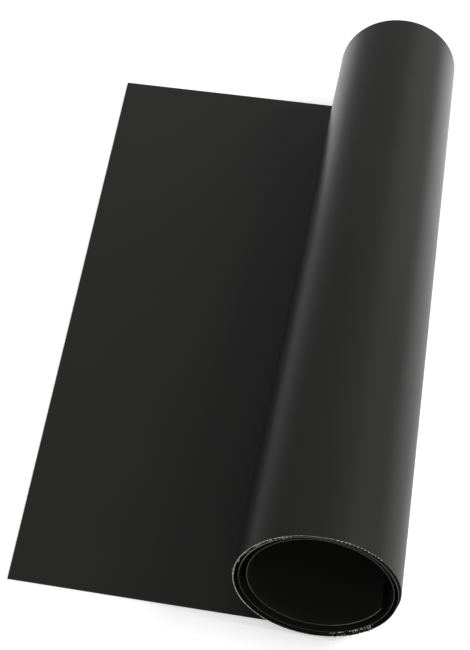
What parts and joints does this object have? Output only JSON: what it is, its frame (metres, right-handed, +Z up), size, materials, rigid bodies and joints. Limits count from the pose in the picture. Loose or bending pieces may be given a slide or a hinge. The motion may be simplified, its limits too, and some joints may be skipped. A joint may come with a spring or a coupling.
{
  "type": "barbecue grill mat",
  "caption": "Black non-stick coated glass-cloth grill mat, lying flat at one end and wound into a loose open roll at the other; it curls up round the roll or unrolls further.",
  "frame": {"origin": "on the ground, below the middle of the half-rolled mat", "axes": "+X along the sheet from the flat free end towards the roll, +Y along the roll axis away from the open end in view, +Z up"},
  "size_m": [0.269, 0.5056, 0.0904],
  "materials": {
    "coated_cloth": "smooth semi-matte non-stick coating over fine glass cloth"
  },
  "bodies": {
    "ground_strip": {"ground_strip": "coated_cloth"},
    "flat_strip_01": {"flat_strip_01": "coated_cloth"},
    "flat_strip_02": {"flat_strip_02": "coated_cloth"},
    "flat_strip_03": {"flat_strip_03": "coated_cloth"},
    "flat_strip_04": {"flat_strip_04": "coated_cloth"},
    "flat_strip_05": {"flat_strip_05": "coated_cloth"},
    "flat_strip_06": {"flat_strip_06": "coated_cloth"},
    "flat_strip_07": {"flat_strip_07": "coated_cloth"},
    "flat_strip_08": {"flat_strip_08": "coated_cloth"},
    "free_end": {"free_end": "coated_cloth"},
    "roll_strip_01": {"roll_strip_01": "coated_cloth"},
    "roll_strip_02": {"roll_strip_02": "coated_cloth"},
    "roll_strip_03": {"roll_strip_03": "coated_cloth"},
    "roll_strip_04": {"roll_strip_04": "coated_cloth"},
    "roll_strip_05": {"roll_strip_05": "coated_cloth"},
    "roll_strip_06": {"roll_strip_06": "coated_cloth"},
    "roll_strip_07": {"roll_strip_07": "coated_cloth"},
    "roll_strip_08": {"roll_strip_08": "coated_cloth"},
    "inner_roll": {"inner_roll": "coated_cloth"}
  },
  "joints": [
    {"name": "curl_01", "type": "hinge", "parent": "ground_strip", "child": "flat_strip_01", "pos_m": [0.08024, 0, 0.0005], "axis": [0, 1, 0], "range_deg": [0, 20]},
    {"name": "curl_02", "type": "hinge", "parent": "flat_strip_01", "child": "flat_strip_02", "pos_m": [0.06377, 0, 0.0005], "axis": [0, 1, 0], "range_deg": [0, 20]},
    {"name": "curl_03", "type": "hinge", "parent": "flat_strip_02", "child": "flat_strip_03", "pos_m": [0.04731, 0, 0.0005], "axis": [0, 1, 0], "range_deg": [0, 20]},
    {"name": "curl_04", "type": "hinge", "parent": "flat_strip_03", "child": "flat_strip_04", "pos_m": [0.03084, 0, 0.0005], "axis": [0, 1, 0], "range_deg": [0, 20]},
    {"name": "curl_05", "type": "hinge", "parent": "flat_strip_04", "child": "flat_strip_05", "pos_m": [0.01437, 0, 0.0005], "axis": [0, 1, 0], "range_deg": [0, 20]},
    {"name": "curl_06", "type": "hinge", "parent": "flat_strip_05", "child": "flat_strip_06", "pos_m": [-0.0021, 0, 0.0005], "axis": [0, 1, 0], "range_deg": [0, 20]},
    {"name": "curl_07", "type": "hinge", "parent": "flat_strip_06", "child": "flat_strip_07", "pos_m": [-0.01857, 0, 0.0005], "axis": [0, 1, 0], "range_deg": [0, 20]},
    {"name": "curl_08", "type": "hinge", "parent": "flat_strip_07", "child": "flat_strip_08", "pos_m": [-0.03504, 0, 0.0005], "axis": [0, 1, 0], "range_deg": [0, 20]},
    {"name": "curl_09", "type": "hinge", "parent": "flat_strip_08", "child": "free_end", "pos_m": [-0.05151, 0, 0.0005], "axis": [0, 1, 0], "range_deg": [0, 20]},
    {"name": "unroll_01", "type": "hinge", "parent": "ground_strip", "child": "roll_strip_01", "pos_m": [0.09641, 0, 0.0005], "axis": [0, 1, 0], "range_deg": [0, 20], "stiffness_Nm_per_rad": 1},
    {"name": "unroll_02", "type": "hinge", "parent": "roll_strip_01", "child": "roll_strip_02", "pos_m": [0.1113, 0, 0.00592], "axis": [0, 1, 0], "range_deg": [0, 20], "stiffness_Nm_per_rad": 1},
    {"name": "unroll_03", "type": "hinge", "parent": "roll_strip_02", "child": "roll_strip_03", "pos_m": [0.12342, 0, 0.01609], "axis": [0, 1, 0], "range_deg": [0, 20], "stiffness_Nm_per_rad": 1},
    {"name": "unroll_04", "type": "hinge", "parent": "roll_strip_03", "child": "roll_strip_04", "pos_m": [0.13132, 0, 0.02977], "axis": [0, 1, 0], "range_deg": [0, 20], "stiffness_Nm_per_rad": 1},
    {"name": "unroll_05", "type": "hinge", "parent": "roll_strip_04", "child": "roll_strip_05", "pos_m": [0.13406, 0, 0.04531], "axis": [0, 1, 0], "range_deg": [0, 20], "stiffness_Nm_per_rad": 1},
    {"name": "unroll_06", "type": "hinge", "parent": "roll_strip_05", "child": "roll_strip_06", "pos_m": [0.13132, 0, 0.06082], "axis": [0, 1, 0], "range_deg": [0, 20], "stiffness_Nm_per_rad": 1},
    {"name": "unroll_07", "type": "hinge", "parent": "roll_strip_06", "child": "roll_strip_07", "pos_m": [0.12346, 0, 0.07444], "axis": [0, 1, 0], "range_deg": [0, 20], "stiffness_Nm_per_rad": 1},
    {"name": "unroll_08", "type": "hinge", "parent": "roll_strip_07", "child": "roll_strip_08", "pos_m": [0.11143, 0, 0.08454], "axis": [0, 1, 0], "range_deg": [0, 20], "stiffness_Nm_per_rad": 1},
    {"name": "unroll_09", "type": "hinge", "parent": "roll_strip_08", "child": "inner_roll", "pos_m": [0.09669, 0, 0.0899], "axis": [0, 1, 0], "range_deg": [0, 20], "stiffness_Nm_per_rad": 1}
  ]
}
